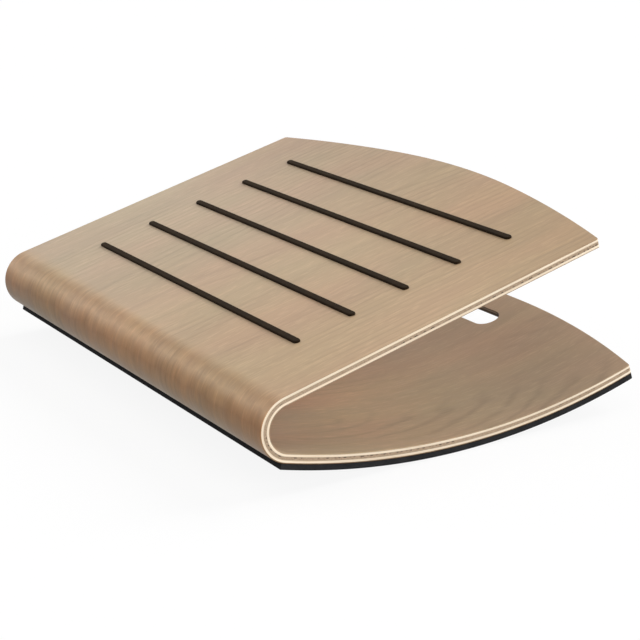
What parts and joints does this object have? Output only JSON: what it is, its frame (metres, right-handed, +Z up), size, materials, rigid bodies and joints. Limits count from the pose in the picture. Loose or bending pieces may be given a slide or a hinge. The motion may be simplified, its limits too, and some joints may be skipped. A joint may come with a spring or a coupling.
{
  "type": "rocking footrest",
  "caption": "Under-desk rocking footrest bent from one plywood sheet, with rubber grip strips across the sloping foot board and a rubber mat under the curved base.",
  "frame": {"origin": "middle of the line on which the floor mat touches the floor, straight below the axis of the rocking curve and the centre of mass", "axes": "+X along the bend, to the right of a user who faces the footrest; +Y from the bend to the open end, away from the user; +Z up"},
  "size_m": [0.44, 0.3303, 0.1412],
  "materials": {
    "face_wood": "satin",
    "pale_ply": "matte",
    "brown_ply": "matte",
    "grip_rubber": "matte",
    "mat_rubber": "matte"
  },
  "bodies": {
    "root": {"outer_face_veneer": "face_wood", "outer_core_ply": "pale_ply", "centre_core_ply": "brown_ply", "inner_core_ply": "pale_ply", "inner_face_veneer": "face_wood", "grip_strip_1": "grip_rubber", "grip_strip_2": "grip_rubber", "grip_strip_3": "grip_rubber", "grip_strip_4": "grip_rubber", "grip_strip_5": "grip_rubber", "floor_mat": "mat_rubber"}
  },
  "joints": []
}
